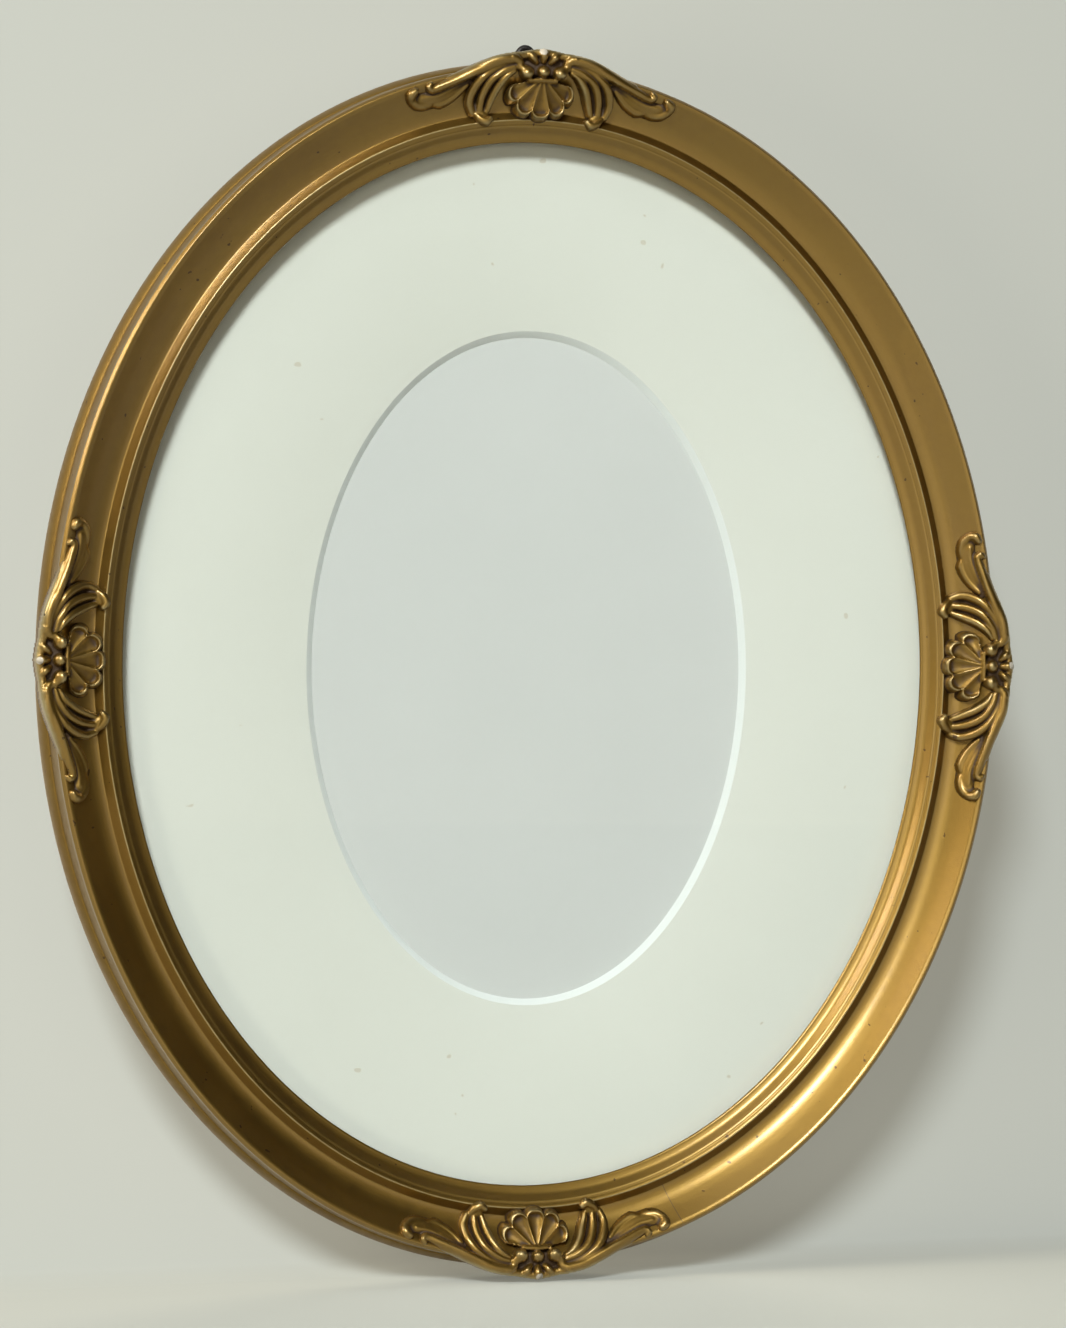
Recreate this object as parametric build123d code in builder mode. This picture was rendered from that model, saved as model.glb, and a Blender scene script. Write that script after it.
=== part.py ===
import math
import os

from build123d import *

os.makedirs("parts", exist_ok=True)

# Oval, as semi-axes of the sight edge; n is the distance outward from it and f the distance forward of the back
sight_a = 94.6
sight_b = 119.8
ornament_ref_n = 10.0
ornament_drop_f = 11.5

# Moulding section
rabbet_n = 7.0
rabbet_depth = 4.7
back_edge_n = 18.8
torus_n = 19.5
torus_f = 3.7
groove_n = 17.0
groove_f = 6.9
rim_n = 16.35
rim_f = 14.15
rim_top_f = 14.45
cove_out_n = 15.5
cove_out_f = 14.2
cove_in_n = 6.0
cove_in_f = 9.0
cove_mid_n = 10.75
cove_mid_f = 10.48
joint_angle = 72.3

# Dowels
dowel_r = 2.0
dowel_half = 9.0
dowel_f = 4.0
dowel_ns = (10.2, 15.3)

# Glazing stack, from the back
stack_clear = 0.4
backing_t = 1.0
insert_t = 0.3
mat_t = 1.4
glass_t = 2.0
opening_a = 50.8
opening_b = 76.2
opening_shift = (0.6, -1.0)

# Turn buttons
button_t = 1.0
button_gap = 0.15
button_r = 4.0
button_reach = 8.5
button_n = 12.5
button_hole_r = 1.35
button_angles = (40.0, 140.0, 220.0, 320.0)
screw_r = 1.1
screw_depth = 7.0
screw_head_r = 2.3
screw_head_t = 1.2
slot_w = 0.6
slot_d = 0.6

# Hanger
wire_r = 0.75
wire_clear = 0.1
knuckle_wall = 0.85
knuckle_len = 7.0
ring_off = wire_r + wire_clear + knuckle_wall
plate_t = 0.8
plate_w = 25.0
plate_n0 = 7.4
plate_n1 = 13.2
pin_n = 13.2
eye_up = 141.9
ring_slope = 36.0
ring_apex_r = 1.6
hanger_screw_x = 9.9
hanger_screw_n = 10.0
hanger_screw_r = 0.9
hanger_head_r = 1.6
hanger_head_t = 0.9
hanger_screw_depth = 6.0

# Row frame: the hanging point is the origin, +Z up, the picture faces -Y
front = Plane(origin=(0, -ring_off, -eye_up), x_dir=(1, 0, 0), z_dir=(0, -1, 0))
oval_axis = Axis((0, 0, -eye_up), (0, 1, 0))


def row(x, y, f):
    return Vector(x, -ring_off - f, -eye_up + y)


def spot(angle, n):
    c = math.cos(math.radians(angle))
    s = math.sin(math.radians(angle))
    nx = c / sight_a
    ny = s / sight_b
    size = math.hypot(nx, ny)
    nx = nx / size
    ny = ny / size
    return sight_a * c + n * nx, sight_b * s + n * ny, nx, ny


def station(middle, s):
    angle = middle
    steps = 80
    for i in range(steps):
        x0, y0, nx, ny = spot(angle - 0.01, ornament_ref_n)
        x1, y1, nx, ny = spot(angle + 0.01, ornament_ref_n)
        angle += s / steps / (math.hypot(x1 - x0, y1 - y0) / 0.02)
    return angle


def on_oval(middle, s, n, f):
    x, y, nx, ny = spot(station(middle, s), n)
    return row(x, y, f)


def across(middle, s, ds, dn, df):
    x, y, nx, ny = spot(station(middle, s), 0)
    return Vector(-ny * ds + nx * dn, -df, nx * ds + ny * dn).normalized()


# Moulding segments
def moulding(start, size):
    x, y, nx, ny = spot(start, 0)
    with BuildLine(front) as path:
        EllipticalCenterArc((0, 0), sight_a, sight_b, start, arc_size=size)
    section = Plane(origin=row(x, y, 0), x_dir=(nx, 0, ny), z_dir=(ny, 0, -nx))
    with BuildPart() as piece:
        with BuildSketch(section):
            with BuildLine():
                Line((back_edge_n, 0), (rabbet_n, 0))
                Line((rabbet_n, 0), (rabbet_n, rabbet_depth))
                Line((rabbet_n, rabbet_depth), (0, rabbet_depth))
                Line((0, rabbet_depth), (-0.1, 7.5))
                ThreePointArc((-0.1, 7.5), (0.12, 7.98), (0.55, 8.0))
                Line((0.55, 8.0), (0.7, 7.8))
                ThreePointArc((0.7, 7.8), (1.75, 8.75), (3.0, 9.2))
                Line((3.0, 9.2), (3.2, 9.6))
                Line((3.2, 9.6), (4.3, 10.0))
                ThreePointArc((4.3, 10.0), (5.0, 10.6), (5.7, 10.0))
                Line((5.7, 10.0), (cove_in_n, cove_in_f))
                ThreePointArc((cove_in_n, cove_in_f), (cove_mid_n, cove_mid_f), (cove_out_n, cove_out_f))
                ThreePointArc((cove_out_n, cove_out_f), (15.95, rim_top_f), (rim_n, rim_f))
                Line((rim_n, rim_f), (groove_n, groove_f))
                Line((groove_n, groove_f), (groove_n + 0.4, groove_f))
                ThreePointArc((groove_n + 0.4, groove_f), (torus_n, torus_f), (back_edge_n, 0))
            make_face()
        sweep(path=path.line)
    return piece


moulding_right = moulding(-joint_angle, 2 * joint_angle)
moulding_top = moulding(joint_angle, 180 - 2 * joint_angle)
moulding_left = moulding(180 - joint_angle, 2 * joint_angle)
moulding_bottom = moulding(180 + joint_angle, 180 - 2 * joint_angle)

# Dowels across the four butt joints, and their holes
joint_angles = (joint_angle, 180 - joint_angle, 180 + joint_angle, -joint_angle)
with BuildPart() as joint_dowels:
    for angle in joint_angles:
        for n in dowel_ns:
            x, y, nx, ny = spot(angle, n)
            with BuildSketch(Plane(origin=row(x, y, dowel_f), z_dir=(-ny, 0, nx))):
                Circle(dowel_r)
            extrude(amount=dowel_half, both=True)

with moulding_right:
    add(joint_dowels.part, mode=Mode.SUBTRACT)
with moulding_top:
    add(joint_dowels.part, mode=Mode.SUBTRACT)
with moulding_left:
    add(joint_dowels.part, mode=Mode.SUBTRACT)
with moulding_bottom:
    add(joint_dowels.part, mode=Mode.SUBTRACT)


# Ornament layers: each loop is drawn along the oval and outward from it, as a start and the arcs after it
crest_and_sides = (
    (0.0, 20.3),
    ((1.0, 20.0), (1.6, 19.3)),
    ((2.6, 20.0), (3.8, 19.2)),
    ((5.2, 19.5), (6.6, 19.6)),
    ((13.0, 18.9), (20.0, 16.6)),
    ((22.3, 15.8), (24.3, 15.5)),
    ((25.5, 15.9), (26.8, 15.2)),
    ((27.3, 14.8), (27.9, 15.1)),
    ((29.7, 15.7), (30.9, 14.2)),
    ((30.6, 12.2), (28.6, 10.9)),
    ((25.6, 10.1), (22.0, 10.9)),
    ((19.4, 12.2), (18.1, 12.7)),
    ((18.7, 10.3), (17.4, 8.1)),
    ((16.6, 7.2), (15.5, 7.2)),
    ((15.7, 5.5), (14.5, 4.6)),
    ((12.9, 4.5), (12.1, 5.9)),
    ((12.1, 7.0), (11.3, 7.4)),
    ((10.4, 8.3), (10.2, 9.6)),
    ((10.3, 11.5), (9.2, 13.1)),
    ((8.6, 13.4), (8.3, 12.7)),
    ((9.3, 10.4), (7.6, 8.6)),
    ((7.4, 5.5), (3.8, 5.2)),
)
shell_foot = (0.0, 3.4)
middle_lobe = (
    (0.9, 12.2),
    ((2.3, 8.8), (2.9, 5.7)),
    ((0.0, 3.8), (-2.9, 5.7)),
    ((-2.3, 8.8), (-0.9, 12.2)),
    ((0.0, 12.6), (0.9, 12.2)),
)
side_lobe = (
    (1.5, 11.9),
    ((3.0, 8.8), (3.9, 6.3)),
    ((6.8, 5.6), (7.0, 8.2)),
    ((4.5, 10.3), (2.2, 12.2)),
    ((1.7, 12.3), (1.5, 11.9)),
)
outer_lobe = (
    (2.8, 12.1),
    ((5.0, 10.8), (7.5, 9.3)),
    ((8.8, 10.6), (7.8, 12.2)),
    ((5.3, 12.5), (3.0, 12.8)),
    ((2.7, 12.5), (2.8, 12.1)),
)
outer_flute = (
    (7.0, 18.4),
    ((13.8, 16.5), (17.9, 9.8)),
    ((17.3, 8.7), (16.4, 9.3)),
    ((13.2, 14.6), (7.0, 17.4)),
    ((6.6, 17.9), (7.0, 18.4)),
)
middle_flute = (
    (7.0, 17.0),
    ((12.5, 14.5), (15.8, 8.5)),
    ((15.0, 7.6), (14.3, 8.5)),
    ((11.3, 13.4), (7.0, 16.0)),
    ((6.6, 16.5), (7.0, 17.0)),
)
inner_flute = (
    (8.6, 14.9),
    ((11.4, 12.6), (13.6, 8.7)),
    ((12.6, 7.9), (11.5, 8.7)),
    ((11.2, 11.4), (9.6, 13.5)),
    ((8.8, 14.1), (8.6, 14.9)),
)
rim_scroll = (
    (5.6, 19.3),
    ((13.0, 18.6), (20.4, 16.2)),
    ((20.7, 15.3), (20.0, 14.7)),
    ((13.0, 17.0), (5.9, 18.6)),
    ((5.4, 18.9), (5.6, 19.3)),
)
tail_leaf = (
    (18.7, 14.5),
    ((24.0, 11.0), (28.6, 11.5)),
    ((30.3, 12.8), (30.2, 14.2)),
    ((28.9, 13.1), (27.0, 13.6)),
    ((23.0, 14.3), (19.0, 15.4)),
    ((18.5, 15.0), (18.7, 14.5)),
)
layers = (
    (2.2, (middle_lobe,), (side_lobe, outer_lobe)),
    (2.5, (), (outer_flute, middle_flute, inner_flute, tail_leaf)),
    (2.9, (), (rim_scroll,)),
)
base_rise = 1.3
# Knobs on the layers: along the oval, outward, height of the top, radius
middle_knobs = ((0.0, 15.0, 17.0, 1.5), (0.0, 18.55, 16.7, 1.5))
side_knobs = (
    (4.0, 14.9, 17.0, 1.75),
    (2.95, 18.2, 16.3, 1.15),
    (13.7, 5.95, 12.7, 1.45),
    (28.8, 13.75, 15.2, 1.35),
    (25.5, 14.3, 15.2, 1.0),
)


def in_plane(middle, s, n):
    x, y, nx, ny = spot(station(middle, s), n)
    return x, y


def cap(middle, rise):
    start = middle - 20
    x, y, nx, ny = spot(start, 0)
    with BuildLine(front) as path:
        EllipticalCenterArc((0, 0), sight_a, sight_b, start, arc_size=40)
    section = Plane(origin=row(x, y, 0), x_dir=(nx, 0, ny), z_dir=(ny, 0, -nx))
    with BuildPart() as piece:
        with BuildSketch(section) as profile:
            with BuildLine():
                Line((1.5, 6.5), (1.5, 9.6 + rise))
                Line((1.5, 9.6 + rise), (5.0, 10.4 + rise))
                ThreePointArc((5.0, 10.4 + rise), (10.2, 10.5 + rise), (15.4, 13.8 + rise))
                Line((15.4, 13.8 + rise), (16.6, 14.3 + rise))
                Line((16.6, 14.3 + rise), (22.0, 13.5 + rise))
                Line((22.0, 13.5 + rise), (22.0, 6.5))
                Line((22.0, 6.5), (1.5, 6.5))
            make_face()
        sweep(sections=profile.sketch, path=path.line)
    return piece


def layer(middle, loops, top):
    with BuildPart() as piece:
        for loop, side in loops:
            with BuildSketch(front.offset(8)) as plan:
                with BuildLine():
                    last = loop[0]
                    for mid, end in loop[1:]:
                        ThreePointArc(
                            in_plane(middle, side * last[0], last[1]),
                            in_plane(middle, side * mid[0], mid[1]),
                            in_plane(middle, side * end[0], end[1]),
                        )
                        last = end
                make_face()
            extrude(plan.sketch, amount=14)
        add(top.part, mode=Mode.INTERSECT)
    return piece


def knob(middle, s, n, f, r):
    with BuildPart() as piece:
        with BuildSketch(front.offset(8)) as plan:
            with Locations(in_plane(middle, s, n)):
                Circle(r)
        extrude(plan.sketch, amount=f - 8)
        fillet(piece.edges().filter_by(GeomType.CIRCLE).sort_by(Axis.Y)[0], 0.85 * r)
    return piece


def ornament(middle, wood):
    with BuildPart() as base:
        with BuildSketch(front.offset(8)) as plan:
            with BuildLine():
                for side in (-1, 1):
                    last = crest_and_sides[0]
                    for mid, end in crest_and_sides[1:]:
                        ThreePointArc(
                            in_plane(middle, side * last[0], last[1]),
                            in_plane(middle, side * mid[0], mid[1]),
                            in_plane(middle, side * end[0], end[1]),
                        )
                        last = end
                ThreePointArc(
                    in_plane(middle, -last[0], last[1]),
                    in_plane(middle, *shell_foot),
                    in_plane(middle, *last),
                )
            make_face()
        extrude(plan.sketch, amount=14)
        add(cap(middle, base_rise).part, mode=Mode.INTERSECT)
    raised = []
    for rise, single, paired in layers:
        loops = [(loop, 1) for loop in single]
        loops += [(loop, side) for loop in paired for side in (-1, 1)]
        raised.append(layer(middle, loops, cap(middle, rise)))
    with BuildPart() as piece:
        add(base.part)
        for each in raised:
            add(each.part)
        for s, n, f, r in middle_knobs:
            add(knob(middle, s, n, f, r).part)
        for s, n, f, r in side_knobs:
            for side in (-1, 1):
                add(knob(middle, side * s, n, f, r).part)
        add(wood.part, mode=Mode.SUBTRACT)
        with BuildSketch(front) as beyond:
            Ellipse(sight_a + 30, sight_b + 30)
            Ellipse(sight_a + 16.2, sight_b + 16.2, mode=Mode.SUBTRACT)
        extrude(beyond.sketch, amount=ornament_drop_f, mode=Mode.SUBTRACT)
    return piece


ornament_top = ornament(90, moulding_top)
ornament_right = ornament(0, moulding_right)
with BuildPart() as ornament_bottom:
    add(ornament_top.part.rotate(oval_axis, 180))
with BuildPart() as ornament_left:
    add(ornament_right.part.rotate(oval_axis, 180))

# Glazing stack
stack_a = sight_a + rabbet_n - stack_clear
stack_b = sight_b + rabbet_n - stack_clear
insert_f = backing_t
mat_f = insert_f + insert_t
glass_f = mat_f + mat_t

with BuildPart() as backing_board:
    with BuildSketch(front):
        Ellipse(stack_a, stack_b)
    extrude(amount=backing_t)

with BuildPart() as insert_sheet:
    with BuildSketch(front.offset(insert_f)):
        Ellipse(stack_a, stack_b)
    extrude(amount=insert_t)

with BuildPart() as mat:
    with BuildSketch(front.offset(mat_f)):
        Ellipse(stack_a, stack_b)
    extrude(amount=mat_t)
    with BuildSketch(front.offset(mat_f)) as opening_back:
        with Locations(opening_shift):
            Ellipse(opening_a, opening_b)
    with BuildSketch(front.offset(mat_f + mat_t)) as opening_front:
        with Locations(opening_shift):
            Ellipse(opening_a + mat_t, opening_b + mat_t)
    loft(mode=Mode.SUBTRACT)

with BuildPart() as glass:
    with BuildSketch(front.offset(glass_f)):
        Ellipse(stack_a, stack_b)
    extrude(amount=glass_t)


# Turn buttons, each pointing inward over the backing board
def turn_button(angle):
    x, y, nx, ny = spot(angle, button_n)
    seat = Plane(origin=row(x, y, -button_gap), x_dir=(-nx, 0, -ny), z_dir=(0, 1, 0))
    with BuildPart() as piece:
        with BuildSketch(seat):
            with Locations((button_reach / 2, 0)):
                SlotCenterToCenter(button_reach, 2 * button_r)
            Circle(button_hole_r, mode=Mode.SUBTRACT)
        extrude(amount=button_t)
        chamfer(piece.faces().sort_by(Axis.Y)[-1].outer_wire().edges(), 0.25)
    return piece


turn_button_upper_right = turn_button(button_angles[0])
turn_button_upper_left = turn_button(button_angles[1])
turn_button_lower_left = turn_button(button_angles[2])
turn_button_lower_right = turn_button(button_angles[3])

# Turn button screws, with slotted heads
button_head_f = -(2 * button_gap + button_t)
with BuildPart() as turn_button_screws:
    for angle in button_angles:
        x, y, nx, ny = spot(angle, button_n)
        seat = Plane(origin=row(x, y, button_head_f), x_dir=(nx, 0, ny), z_dir=(0, 1, 0))
        with BuildSketch(seat):
            Circle(screw_r)
        extrude(amount=button_head_f - screw_depth)
        with BuildSketch(seat):
            Circle(screw_head_r)
        extrude(amount=screw_head_t)
    tops = turn_button_screws.edges().filter_by(GeomType.CIRCLE).group_by(Axis.Y)[-1]
    fillet(tops, 0.7)
    for angle in button_angles:
        x, y, nx, ny = spot(angle, button_n)
        seat = Plane(origin=row(x, y, button_head_f), x_dir=(nx, 0, ny), z_dir=(0, 1, 0))
        with BuildSketch(seat.offset(screw_head_t)):
            Rectangle(3 * screw_head_r, slot_w, rotation=angle)
        extrude(amount=-slot_d, mode=Mode.SUBTRACT)

# Hanger plate with the rolled knuckle in the middle of its upper edge
pin_y = sight_b + pin_n
knuckle_r = ring_off
with BuildPart() as hanger_plate:
    with BuildSketch(front):
        with Locations((0, sight_b + (plate_n0 + plate_n1) / 2)):
            RectangleRounded(plate_w, plate_n1 - plate_n0, 1.5)
    extrude(amount=-plate_t)
    with BuildSketch(Plane(origin=row(0, pin_y, -ring_off), z_dir=(1, 0, 0))):
        Circle(knuckle_r)
    extrude(amount=knuckle_len / 2, both=True)
    with BuildSketch(Plane(origin=row(0, pin_y, -ring_off), z_dir=(1, 0, 0))):
        Circle(wire_r + wire_clear)
    extrude(amount=knuckle_len, both=True, mode=Mode.SUBTRACT)
    with BuildSketch(front):
        with Locations(
            (-hanger_screw_x, sight_b + hanger_screw_n),
            (hanger_screw_x, sight_b + hanger_screw_n),
        ):
            Circle(hanger_screw_r)
    extrude(amount=-plate_t, mode=Mode.SUBTRACT)

# Hanger screws
with BuildPart() as hanger_screws:
    for x in (-hanger_screw_x, hanger_screw_x):
        seat = Plane(origin=row(x, sight_b + hanger_screw_n, -plate_t), x_dir=(1, 0, 0), z_dir=(0, 1, 0))
        with BuildSketch(seat):
            Circle(hanger_screw_r)
        extrude(amount=-plate_t - hanger_screw_depth)
        with BuildSketch(seat):
            Circle(hanger_head_r)
        extrude(amount=hanger_head_t)
    tops = hanger_screws.edges().filter_by(GeomType.CIRCLE).group_by(Axis.Y)[-1]
    fillet(tops, 0.5)
    for x in (-hanger_screw_x, hanger_screw_x):
        seat = Plane(origin=row(x, sight_b + hanger_screw_n, -plate_t), x_dir=(1, 0, 0), z_dir=(0, 1, 0))
        with BuildSketch(seat.offset(hanger_head_t)):
            Rectangle(3 * hanger_head_r, 0.45, rotation=30)
        extrude(amount=-0.45, mode=Mode.SUBTRACT)

# Hanger ring, a bent wire triangle with a round apex
slope = math.radians(ring_slope)
apex_y = eye_up + wire_r
sharp_y = apex_y + ring_apex_r / math.sin(slope) - ring_apex_r
base_half = (sharp_y - pin_y) * math.tan(slope)
with BuildPart() as hanger_ring:
    with BuildLine(front.offset(-ring_off)) as ring_line:
        FilletPolyline(
            (-base_half, pin_y),
            (base_half, pin_y),
            (0, sharp_y),
            radius=ring_apex_r,
            close=True,
        )
    ring_path = ring_line.wires()[0]
    with BuildSketch(Plane(origin=ring_path @ 0, z_dir=ring_path % 0)):
        Circle(wire_r)
    sweep(path=ring_path)

# Screw holes in the wood
with moulding_right:
    add(turn_button_screws.part, mode=Mode.SUBTRACT)
with moulding_left:
    add(turn_button_screws.part, mode=Mode.SUBTRACT)
with moulding_top:
    add(hanger_screws.part, mode=Mode.SUBTRACT)

pieces = {
    "moulding_right": moulding_right,
    "moulding_top": moulding_top,
    "moulding_left": moulding_left,
    "moulding_bottom": moulding_bottom,
    "joint_dowels": joint_dowels,
    "ornament_right": ornament_right,
    "ornament_top": ornament_top,
    "ornament_left": ornament_left,
    "ornament_bottom": ornament_bottom,
    "glass": glass,
    "mat": mat,
    "insert_sheet": insert_sheet,
    "backing_board": backing_board,
    "turn_button_upper_right": turn_button_upper_right,
    "turn_button_upper_left": turn_button_upper_left,
    "turn_button_lower_left": turn_button_lower_left,
    "turn_button_lower_right": turn_button_lower_right,
    "turn_button_screws": turn_button_screws,
    "hanger_plate": hanger_plate,
    "hanger_ring": hanger_ring,
    "hanger_screws": hanger_screws,
}
for label, piece in pieces.items():
    piece.part.label = label
    export_step(piece.part, "parts/" + label + ".step")
    print(label, len(piece.part.solids()), round(piece.part.volume, 1), piece.part.is_valid)
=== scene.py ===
import math

import bpy
import numpy as np
from mathutils import Matrix, Vector


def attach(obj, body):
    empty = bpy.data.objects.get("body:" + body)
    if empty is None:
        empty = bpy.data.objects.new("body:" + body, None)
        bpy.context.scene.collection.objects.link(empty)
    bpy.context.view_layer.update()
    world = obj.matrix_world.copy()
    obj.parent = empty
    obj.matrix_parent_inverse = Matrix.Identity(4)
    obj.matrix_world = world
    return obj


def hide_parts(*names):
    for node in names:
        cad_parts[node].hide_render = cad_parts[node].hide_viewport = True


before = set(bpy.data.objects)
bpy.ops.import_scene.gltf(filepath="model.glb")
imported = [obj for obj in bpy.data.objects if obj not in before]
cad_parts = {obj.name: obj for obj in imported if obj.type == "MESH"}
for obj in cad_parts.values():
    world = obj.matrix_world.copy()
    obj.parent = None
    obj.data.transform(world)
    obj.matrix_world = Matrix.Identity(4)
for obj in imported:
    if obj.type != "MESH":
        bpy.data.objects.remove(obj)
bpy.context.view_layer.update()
bpy.context.scene.view_settings.view_transform = "Standard"
bpy.ops.object.select_all(action="DESELECT")
print("frame loaded", len(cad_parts), "nodes")

# the oval, in millimetres: n is outward from the sight edge, f is forward of the back
oval = dict(sightA=94.3, sightB=119.5, backY=-1.7, centreZ=-141.9, jointAngle=72.3, refN=10.3)


def toRow(x, y, f):
    x, depth, up = np.broadcast_arrays(x, oval["backY"] - np.asarray(f), oval["centreZ"] + y)
    return np.stack([x, depth, up], -1) * 0.001


def onOval(angle, n, f):
    c = np.cos(angle)
    s = np.sin(angle)
    nx = c / oval["sightA"]
    ny = s / oval["sightB"]
    size = np.hypot(nx, ny)
    x = oval["sightA"] * c + n * nx / size
    y = oval["sightB"] * s + n * ny / size
    return toRow(x, y, f)


def angleAt(middle, s):
    angles = np.linspace(middle - 1.0, middle + 1.0, 8001)
    p = onOval(angles, oval["refN"], 0.0) * 1000
    step = np.linalg.norm(np.diff(p, axis=0), axis=1)
    length = np.concatenate([[0.0], np.cumsum(step)])
    length -= np.interp(middle, angles, length)
    return np.interp(s, length, angles)


# camera
shot = dict(
    azimuth=14.38,
    elevation=-0.45,
    roll=0.28,
    distance=861.7,
    focalPixels=3746.0,
    tallPixels=1328.0,
    sensor=36.0,
    target=(1.08, -5.7, -141.98),
)


def placeCamera():
    az = math.radians(shot["azimuth"])
    el = math.radians(shot["elevation"])
    roll = math.radians(shot["roll"])
    back = Vector((-math.sin(az) * math.cos(el), -math.cos(az) * math.cos(el), math.sin(el)))
    right = (-back).cross(Vector((0, 0, 1))).normalized()
    up = right.cross(-back)
    side = math.cos(roll) * right + math.sin(roll) * up
    top = -math.sin(roll) * right + math.cos(roll) * up
    bpy.ops.object.camera_add()
    camera = bpy.context.object
    camera.name = "viewCamera"
    spot = (Vector(shot["target"]) + back * shot["distance"]) * 0.001
    turn = Matrix((side, top, back)).transposed().to_4x4()
    camera.matrix_world = Matrix.Translation(spot) @ turn
    camera.data.sensor_width = shot["sensor"]
    camera.data.lens = shot["focalPixels"] / shot["tallPixels"] * shot["sensor"]
    camera.data.clip_start = 0.05
    bpy.context.scene.camera = camera


placeCamera()
print("camera placed")


# shader values: one wrapped socket with operators, and one method for any node
class Wire:
    def __init__(self, finish, socket):
        self.finish = finish
        self.socket = socket

    def sum(self, operation, a, b):
        return self.finish.add("ShaderNodeMath", dict(operation=operation), {0: a, 1: b})

    def __add__(self, other):
        return self.sum("ADD", self, other)

    __radd__ = __add__

    def __mul__(self, other):
        return self.sum("MULTIPLY", self, other)

    __rmul__ = __mul__

    def __sub__(self, other):
        return self.sum("SUBTRACT", self, other)

    def __rsub__(self, other):
        return self.sum("SUBTRACT", other, self)

    def __pow__(self, other):
        return self.sum("POWER", self, other)

    def above(self, low, high):
        return self.finish.add(
            "ShaderNodeMapRange",
            dict(interpolation_type="SMOOTHSTEP", clamp=True),
            {"Value": self, "From Min": low, "From Max": high},
        )


class Finish:
    def __init__(self, name):
        self.material = bpy.data.materials.new(name)
        self.material.use_nodes = True
        self.tree = self.material.node_tree
        self.tree.nodes.clear()
        self.out = self.tree.nodes.new("ShaderNodeOutputMaterial")

    def add(self, kind, settings, sockets, output=0):
        node = self.tree.nodes.new(kind)
        for key, value in settings.items():
            setattr(node, key, value)
        for key, value in sockets.items():
            socket = node.inputs[key]
            if isinstance(value, Wire):
                self.tree.links.new(value.socket, socket)
            elif isinstance(value, tuple) and len(value) < len(socket.default_value):
                socket.default_value = (*value, 1.0)
            else:
                socket.default_value = value
        return Wire(self, node.outputs[output])

    def place(self):
        return self.add("ShaderNodeTexCoord", {}, {}, "Object")

    def mark(self, name):
        return self.add("ShaderNodeAttribute", dict(attribute_name=name), {}, "Fac")

    def noise(self, where, scale, detail=3.0, rough=0.5, warp=0.0):
        return self.add(
            "ShaderNodeTexNoise",
            {},
            {"Vector": where, "Scale": scale, "Detail": detail, "Roughness": rough, "Distortion": warp},
        )

    def mix(self, amount, a, b, blend="MIX"):
        settings = dict(data_type="RGBA", blend_type=blend)
        return self.add("ShaderNodeMix", settings, {0: amount, 6: a, 7: b}, 2)

    def stretch(self, where, scale):
        return self.add("ShaderNodeMapping", {}, {"Vector": where, "Scale": scale})

    def bump(self, height, strength, distance):
        values = {"Height": height, "Strength": strength, "Distance": distance}
        return self.add("ShaderNodeBump", {}, values)

    def surface(self, sockets):
        shader = self.add("ShaderNodeBsdfPrincipled", {}, sockets)
        self.tree.links.new(shader.socket, self.out.inputs["Surface"])
        return self.material


# aged gilding: leaf colours, dirt, and the bare wood of the back
gilding = dict(
    leaf=(0.25, 0.148, 0.026),
    worn=(0.40, 0.31, 0.14),
    toned=(0.195, 0.107, 0.017),
    grime=(0.045, 0.022, 0.006),
    speck=(0.05, 0.022, 0.008),
    crack=(0.10, 0.06, 0.03),
    chalk=(0.50, 0.45, 0.36),
    woodDark=(0.20, 0.115, 0.055),
    woodLight=(0.30, 0.185, 0.095),
    cloudScale=38.0,
    fineScale=420.0,
    grainScale=3200.0,
    speckScale=640.0,
    rough=0.36,
    coat=0.75,
    coatRough=0.26,
)


def gildedFinish():
    f = Finish("agedGilding")
    where = f.place()
    grime = f.mark("grime")
    wear = f.mark("wear")
    gesso = f.mark("gesso")
    crack = f.mark("crack")
    bare = f.mark("bare")
    cloud = f.noise(where, gilding["cloudScale"], 3.0, 0.5)
    fine = f.noise(where, gilding["fineScale"], 3.0, 0.6)
    grain = f.noise(where, gilding["grainScale"], 2.0, 0.5)
    speck = f.noise(where, gilding["speckScale"], 1.0, 0.3).above(0.772, 0.795)
    tone = (cloud * 0.7 + fine * 0.3).above(0.35, 0.75)
    colour = f.mix(tone * 0.55, gilding["leaf"], gilding["toned"])
    colour = f.mix((wear * (0.45 + 0.7 * fine)).above(0.2, 0.9), colour, gilding["worn"])
    dirt = (grime * (0.7 + 0.6 * fine)).above(0.10, 0.95)
    colour = f.mix(dirt, colour, gilding["grime"])
    colour = f.mix(speck * 0.8, colour, gilding["speck"])
    colour = f.mix(crack, colour, gilding["crack"])
    chalk = (gesso * (0.55 + 0.9 * fine)).above(0.42, 0.55)
    colour = f.mix(chalk, colour, gilding["chalk"])
    rings = f.noise(f.stretch(where, (60.0, 60.0, 900.0)), 1.0, 4.0, 0.6, 0.4)
    wood = f.mix(rings.above(0.3, 0.7), gilding["woodDark"], gilding["woodLight"])
    colour = f.mix(bare, colour, wood)
    metal = (1.0 - dirt * 0.7) * (1.0 - chalk) * (1.0 - bare) * (0.98 - 0.08 * tone)
    rough = gilding["rough"] + 0.06 * tone + 0.20 * dirt + 0.08 * fine + 0.30 * chalk + 0.35 * bare
    height = fine * 0.35 + grain * 0.25 - speck * 0.6 - chalk * 0.4
    return f.surface(
        {
            "Base Color": colour,
            "Metallic": metal,
            "Roughness": rough,
            "Coat Weight": (1.0 - dirt) ** 6.0 * (1.0 - bare) * gilding["coat"],
            "Coat Roughness": gilding["coatRough"],
            "Normal": f.bump(height, 0.25, 0.0003),
        }
    )


gilt = gildedFinish()
print("gilding ready")


# helpers for pieces
weldGap = 0.000002


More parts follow.
